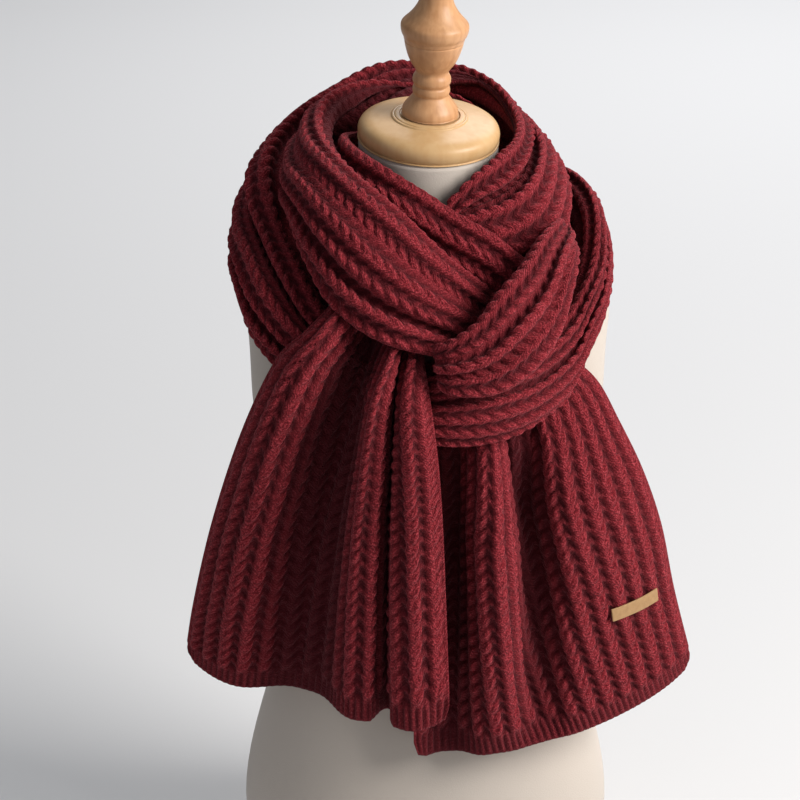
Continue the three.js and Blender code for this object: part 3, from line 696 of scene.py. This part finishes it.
# Painted shade: the gullies and hollows darken the wool by the painted shade rise.
wool_gully_painted_shade = new_range(wool_knit, wool_in.outputs["Painted Shade Rise"], *GULLY_PAINTED_SHADE_RISE, GULLY_PAINTED_SHADE_MOST)
wool_painted_shade_share = new_math(wool_knit, "MAXIMUM", wool_painted_gap_shade, wool_gully_painted_shade)
wool_with_painted_shade = new_mix(wool_knit, wool_painted_shade_share, wool_in.outputs["Wool"], wool_in.outputs["Shade"])
# Painted highlight: light flecks lighten the wool, only on the crests.
wool_painted_highlight_range = new_range(wool_knit, wool_flecks_and_painted_light, *PAINTED_HIGHLIGHT_FLECK_RANGE)
wool_painted_fleck_highlight = new_math(wool_knit, "MULTIPLY", wool_painted_highlight_range, PAINTED_HIGHLIGHT_FLECK_SHARE)
wool_painted_crest_light = new_math(wool_knit, "SUBTRACT", 1.0, wool_gully_painted_shade)
wool_painted_highlight_share = new_math(wool_knit, "MULTIPLY", wool_painted_fleck_highlight, wool_painted_crest_light)
wool_with_painted_highlight = new_mix(wool_knit, wool_painted_highlight_share, wool_with_painted_shade, wool_in.outputs["Light"])
wool_knit.links.new(wool_with_painted_highlight, wool_out.inputs["Colour"])
wool_ridges = new_math(wool_knit, "MULTIPLY", wool_strand, YARN_BUMP)
wool_height = new_math(wool_knit, "ADD", wool_ridges, wool_loose)
wool_knit.links.new(wool_height, wool_out.inputs["Yarn Height"])


def wool_material(name):
    """Burgundy wool yarn, soft and dry, with a faint sheen from its fibres."""
    material, tree, shader = plain_material(name, WOOL_COLOUR, WOOL_ROUGHNESS)
    shader.inputs["Sheen Weight"].default_value = WOOL_SHEEN
    shader.inputs["Sheen Roughness"].default_value = WOOL_SHEEN_ROUGHNESS
    shader.inputs["Sheen Tint"].default_value = WOOL_SHEEN_TINT
    shader.inputs["Specular IOR Level"].default_value = WOOL_SHINE
    knit_place = tree.nodes.new("ShaderNodeUVMap")
    knit_place.uv_map = "knit"
    place = tree.nodes.new("ShaderNodeTexCoord")
    rise = tree.nodes.new("ShaderNodeAttribute")
    rise.attribute_name = "painted_shade_rise"
    knit = tree.nodes.new("ShaderNodeGroup")
    knit.node_tree = wool_knit
    # Painted shade and painted highlight colours for the gullies, hollows and crests.
    knit.inputs["Wool"].default_value = WOOL_COLOUR
    knit.inputs["Shade"].default_value = WOOL_PAINTED_SHADE
    knit.inputs["Light"].default_value = WOOL_PAINTED_HIGHLIGHT
    tree.links.new(knit_place.outputs["UV"], knit.inputs["Knit Place"])
    tree.links.new(place.outputs["Object"], knit.inputs["Object Place"])
    tree.links.new(rise.outputs["Fac"], knit.inputs["Painted Shade Rise"])
    tree.links.new(knit.outputs["Colour"], shader.inputs["Base Color"])
    add_bump(tree, shader, knit.outputs["Yarn Height"], WOOL_BUMP, WOOL_BUMP_DEPTH)
    return material


wool = wool_material("burgundy_wool")
left_tail_bm = knit_strip(tail_edges(LEFT_TAIL), TAIL_WRAP, LEFT_TAIL_FOLDS, TAIL_RIBS, hem=True)
left_tail = finish_piece("front_tail", left_tail_bm, wool, "wool", "left_tail")

# Right tail: the other end, which hangs behind the left one and fans out to the right.
# It has the same ribs and hem, one deep pleat at its left, and the leather label near the hem.
RIGHT_TAIL = np.array([
    (-4, -118, 544, 106, -88, 544, 20, 0), (-6, -121, 506, 136, -70, 512, 24, 3),
    (-8, -125, 462, 156, -72, 476, 31, 6), (-10, -128, 410, 177, -72, 432, 36, 7),
    (-11, -130, 350, 195, -66, 380, 38, 8), (-12, -130, 290, 209, -58, 318, 38, 8),
    (-12, -129, 226, 224, -50, 262, 36, 6), (-12, -128, 189, 231, -46, 238, 35, 5)], float)
RIGHT_TAIL_FOLDS = [
    (0.13, 0.11, 0.08, -6, -30, -15), (0.315, 0.25, 0.078, 20, 18, -3), (0.49, 0.41, 0.078, -30, -33, -4)]
LABEL_ALONG = 0.678
LABEL_ACROSS = 0.822
PRESS_ALONG = 0.035
PRESS_ACROSS = 0.085
PRESSED_HEIGHT = 1.4


def press_under_label(share, across, relief):
    """The label is sewn on, so it presses the ribs flat under it."""
    along = (share[:, None] - LABEL_ALONG) / PRESS_ALONG
    aside = (across[None] - LABEL_ACROSS) / PRESS_ACROSS
    near = np.exp(-along ** 4 - aside ** 4)
    return relief + (np.minimum(relief, PRESSED_HEIGHT) - relief) * near


right_tail_bm = knit_strip(tail_edges(RIGHT_TAIL), TAIL_WRAP, RIGHT_TAIL_FOLDS, TAIL_RIBS, hem=True,
                           flatten=press_under_label)
right_tail = finish_piece("back_tail", right_tail_bm, wool, "wool", "right_tail")

# Label: a plain strip of tan vegetable-tanned leather, 50 by 12 mm and 1.4 mm thick.
# It is sewn flat on the right tail, near its right edge.
LABEL_LENGTH = 50
LABEL_WIDTH = 12
LABEL_THICKNESS = 1.4
LABEL_TURN = math.radians(7)
LABEL_CLEAR = 2.9
LEATHER = (0.37, 0.215, 0.09, 1)
LEATHER_DARK = (0.24, 0.125, 0.045, 1)
LEATHER_ROUGHNESS = 0.55
LEATHER_GRAIN_SCALE = 900
LEATHER_GRAIN_BUMP = 0.3
LEATHER_GRAIN_DEPTH = 0.0003
STAIN_SCALE = 240
STAIN_DETAIL = 4
STAIN_RANGE = (0.35, 0.7)
STAIN_SHARE = 0.45
LABEL_EDGE_WEAR = 0.0004
SECTION_STEPS = 400
NEAR_BY = 0.01


def tail_point(share, across):
    """A point of the right tail's face, for shares of its length and width."""
    row = cross_sections(tail_edges(RIGHT_TAIL), np.array([share]), TAIL_WRAP, RIGHT_TAIL_FOLDS)[0]
    section = evenly(row, SECTION_STEPS + 1)
    place = across * SECTION_STEPS
    return np.array([np.interp(place, np.arange(SECTION_STEPS + 1), section[:, k]) for k in range(3)])


label_middle = tail_point(LABEL_ALONG, LABEL_ACROSS)
label_wide = np.linalg.norm(tail_point(LABEL_ALONG, LABEL_ACROSS + NEAR_BY) - label_middle) / NEAR_BY
label_tall = np.linalg.norm(tail_point(LABEL_ALONG + NEAR_BY, LABEL_ACROSS) - label_middle) / NEAR_BY
leather, leather_tree, leather_shader = plain_material("tan_leather", LEATHER, LEATHER_ROUGHNESS)
leather_place = leather_tree.nodes.new("ShaderNodeTexCoord")
leather_grain = leather_tree.nodes.new("ShaderNodeTexVoronoi")
leather_grain.inputs["Scale"].default_value = LEATHER_GRAIN_SCALE
leather_stain = leather_tree.nodes.new("ShaderNodeTexNoise")
leather_stain.inputs["Scale"].default_value = STAIN_SCALE
leather_stain.inputs["Detail"].default_value = STAIN_DETAIL
leather_tree.links.new(leather_place.outputs["Object"], leather_grain.inputs["Vector"])
leather_tree.links.new(leather_place.outputs["Object"], leather_stain.inputs["Vector"])
leather_worn = new_range(leather_tree, leather_stain.outputs["Fac"], *STAIN_RANGE)
leather_share = new_math(leather_tree, "MULTIPLY", leather_worn, STAIN_SHARE)
leather_colour = new_mix(leather_tree, leather_share, LEATHER, LEATHER_DARK)
leather_tree.links.new(leather_colour, leather_shader.inputs["Base Color"])
add_bump(leather_tree, leather_shader, leather_grain.outputs["Distance"], LEATHER_GRAIN_BUMP,
         LEATHER_GRAIN_DEPTH)
label_bm = bmesh.new()
bmesh.ops.create_grid(label_bm, x_segments=LABEL_LENGTH, y_segments=LABEL_WIDTH, size=1)
label_top = bmesh.ops.extrude_face_region(label_bm, geom=label_bm.faces[:], use_keep_orig=True)
label_lifted = [item for item in label_top["geom"] if isinstance(item, bmesh.types.BMVert)]
bmesh.ops.translate(label_bm, verts=label_lifted, vec=(0, 0, 1))
bmesh.ops.recalc_face_normals(label_bm, faces=label_bm.faces)
for vertex in label_bm.verts:
    right = vertex.co.x * LABEL_LENGTH / 2
    down = -vertex.co.y * LABEL_WIDTH / 2
    level = vertex.co.z
    across = right * math.cos(LABEL_TURN) - down * math.sin(LABEL_TURN)
    lower = right * math.sin(LABEL_TURN) + down * math.cos(LABEL_TURN)
    share = LABEL_ALONG + lower / label_tall
    width_share = LABEL_ACROSS + across / label_wide
    here = tail_point(share, width_share)
    to_right = tail_point(share, width_share + NEAR_BY) - here
    to_hem = tail_point(share + NEAR_BY, width_share) - here
    facing = unit(np.cross(to_hem, to_right))
    vertex.co = (here + facing * (LABEL_CLEAR + level * LABEL_THICKNESS)) * MM
label = finish_piece("label", label_bm, leather, "tan_leather", "leather_label")
label_edge = label.modifiers.new("worn_edge", "BEVEL")
label_edge.width = LABEL_EDGE_WEAR
label_edge.segments = 2
label_edge.limit_method = "ANGLE"

# Upper front band: the puffy stretch that comes from behind the neck on the left, and crosses the
# front down to the right, where its ribs dive under the crossing band.
BAND_WRAP = math.radians(108)
UPPER_BAND_RIBS = 7
UPPER_FRONT_BAND = np.array([  # high turn, reach, z, low turn, reach, z, crown
    (-238, 66, 688, -238, 74, 650, 5), (-205, 70, 708, -205, 82, 657, 8),
    (-175, 72, 717, -175, 86, 655, 10), (-140, 80, 722, -142, 97, 655, 14),
    (-108, 84, 716, -112, 104, 648, 19), (-78, 84, 702, -86, 108, 642, 23),
    (-52, 85, 688, -62, 116, 638, 27), (-32, 87, 672, -45, 130, 618, 29),
    (-13, 91, 652, -30, 143, 592, 29), (4, 98, 626, -14, 148, 572, 24),
    (16, 105, 610, 1, 140, 560, 16), (26, 104, 596, 13, 127, 552, 8),
    (34, 98, 584, 24, 112, 550, 4)], float)
UPPER_BAND_FOLDS = [(0.3, 0.3, 0.055, 0, -5, -6), (0.64, 0.64, 0.055, 0, -5, -5)]
# A tuck is its edge, length, drop in degrees, first and last share, and its own fade in, if any.
UPPER_BAND_TUCKS = [("high", 15, 90, 0.2, 1.08)]


def round_neck(turn, reach, z):
    """Points at a turn in degrees from the front, a reach from the neck's middle, and a height."""
    turn = np.radians(turn)
    return np.stack([reach * np.sin(turn), -reach * np.cos(turn), z], axis=1)


def band_edges(rows):
    """The low edge, high edge, crown and sag of a wound stretch, at each share of its length."""
    def at(share):
        value = between_rows(rows, share)
        high = round_neck(value[:, 0], value[:, 1], value[:, 2])
        low = round_neck(value[:, 3], value[:, 4], value[:, 5])
        return low, high, value[:, 6], np.zeros(len(share))
    return at


upper_bm = knit_strip(band_edges(UPPER_FRONT_BAND), BAND_WRAP, UPPER_BAND_FOLDS, UPPER_BAND_RIBS,
                      UPPER_BAND_TUCKS)
upper_band = finish_piece("upper_band", upper_bm, wool, "wool", "upper_front_band")

# Inner front band: the narrow stretch that shows beside the neck, under the upper band.
# It is only three ribs wide and has no folds.
INNER_BAND_RIBS = 3
INNER_FRONT_BAND = np.array([
    (-150, 60, 682, -150, 63, 656, 5), (-110, 63, 692, -110, 72, 662, 6), (-78, 66, 697, -80, 79, 662, 7),
    (-42, 66, 690, -46, 80, 655, 8), (-12, 68, 675, -18, 84, 638, 9), (9, 73, 659, 2, 90, 620, 9),
    (30, 96, 640, 20, 98, 606, 9), (42, 116, 618, 31, 105, 594, 8)], float)
inner_bm = knit_strip(band_edges(INNER_FRONT_BAND), BAND_WRAP, [], INNER_BAND_RIBS)
inner_band = finish_piece("inner_band", inner_bm, wool, "wool", "inner_front_band")

# Collar and left loop: one long stretch. It rises beside the neck on the right, goes behind it as
# a standing collar, and comes down over the left shoulder as the low outer loop.
COLLAR_RIBS = 7
COLLAR_LOOP = np.array([
    (12, 69, 660, 10, 84, 606, 6), (30, 68, 678, 26, 94, 602, 9), (46, 68, 686, 42, 107, 604, 11),
    (62, 68, 690, 58, 115, 618, 14), (86, 70, 696, 84, 112, 648, 13), (117, 76, 706, 112, 107, 660, 12),
    (142, 86, 720, 140, 106, 662, 12), (162, 91, 729, 162, 106, 664, 14),
    (180, 92, 731, 180, 107, 665, 14), (202, 93, 731, 202, 112, 656, 16),
    (225, 100, 716, 223, 124, 628, 20), (248, 115, 696, 246, 136, 606, 23),
    (270, 126, 671, 268, 142, 581, 25), (290, 123, 629, 286, 150, 577, 29),
    (306, 125, 609, 300, 154, 552, 28), (320, 131, 582, 310, 154, 536, 19),
    (332, 132, 560, 322, 147, 524, 12)], float)
COLLAR_FOLDS = [(0.70, 0.70, 0.045, -15, -14, -13), (0.34, 0.34, 0.05, 2, -3, -8)]
COLLAR_TUCKS = [("high", 46, 20, 0.4, 1.08, 0.2), ("low", 36, 90, -0.1, 0.34)]
collar_bm = knit_strip(band_edges(COLLAR_LOOP), BAND_WRAP, COLLAR_FOLDS, COLLAR_RIBS, COLLAR_TUCKS)
collar = finish_piece("collar_and_left_loop", collar_bm, wool, "wool",
                      "right_collar_band", "outer_left_loop")

# Right loop: the low outer stretch. It crosses the front under the knot, goes up over the right
# shoulder and round the back, and tucks in under the left loop.
RIGHT_LOOP_RIBS = 7
OUTER_RIGHT_LOOP = np.array([
    (-8, 136, 531, -8, 150, 495, 8), (8, 142, 546, 6, 153, 490, 14), (24, 141, 552, 20, 154, 492, 18),
    (40, 136, 556, 34, 154, 502, 20), (56, 136, 576, 46, 150, 516, 19), (70, 138, 606, 60, 147, 549, 16),
    (86, 133, 640, 82, 145.4, 583, 11), (106, 124, 652, 104, 140, 592, 12),
    (132, 114, 652, 130, 134, 592, 15), (160, 112, 652, 160, 128, 590, 16),
    (190, 110, 648, 190, 123, 589, 14), (216, 104, 640, 216, 116, 594, 9),
    (238, 102, 636, 238, 112, 606, 6)], float)
RIGHT_LOOP_FOLDS = [(0.6, 0.6, 0.06, -6, -4, -2.4)]
RIGHT_LOOP_TUCKS = [("high", 58, 100, 0.2, 0.9), ("low", 17, 0, -0.1, 0.5, 0.05)]
right_loop_bm = knit_strip(band_edges(OUTER_RIGHT_LOOP), BAND_WRAP, RIGHT_LOOP_FOLDS, RIGHT_LOOP_RIBS,
                           RIGHT_LOOP_TUCKS)
right_loop = finish_piece("right_loop", right_loop_bm, wool, "wool", "outer_right_loop")

# Crossing band: the short stretch that goes over the others at the right front, with the soft fan
# of ribs that holds the winding together.
KNOT_RIBS = 5
KNOT_BAND = np.array([
    (1.5, 153, 571, 3, 159, 541, 8), (6, 158, 577, 7, 166, 537, 12), (13, 156, 590, 17, 170, 538, 15),
    (21, 147, 608, 27, 170, 552, 17), (32, 137, 626, 37, 162, 574, 16), (42, 129, 640, 47, 150, 604, 13),
    (54, 123, 646, 56, 138, 618, 9), (64, 116, 637, 66, 128, 616, 6), (76, 108, 638, 77, 118, 617, 5),
    (94, 100, 638, 94, 109, 620, 4)], float)
KNOT_FOLDS = [(0.36, 0.36, 0.06, -6, -5, -1.2), (0.66, 0.66, 0.06, -5, -6, -0.8)]
KNOT_TUCKS = [("high", 40, 60, 0.2, 0.92)]
knot_bm = knit_strip(band_edges(KNOT_BAND), BAND_WRAP, KNOT_FOLDS, KNOT_RIBS, KNOT_TUCKS)
knot = finish_piece("crossing_band", knot_bm, wool, "wool", "knot_band")
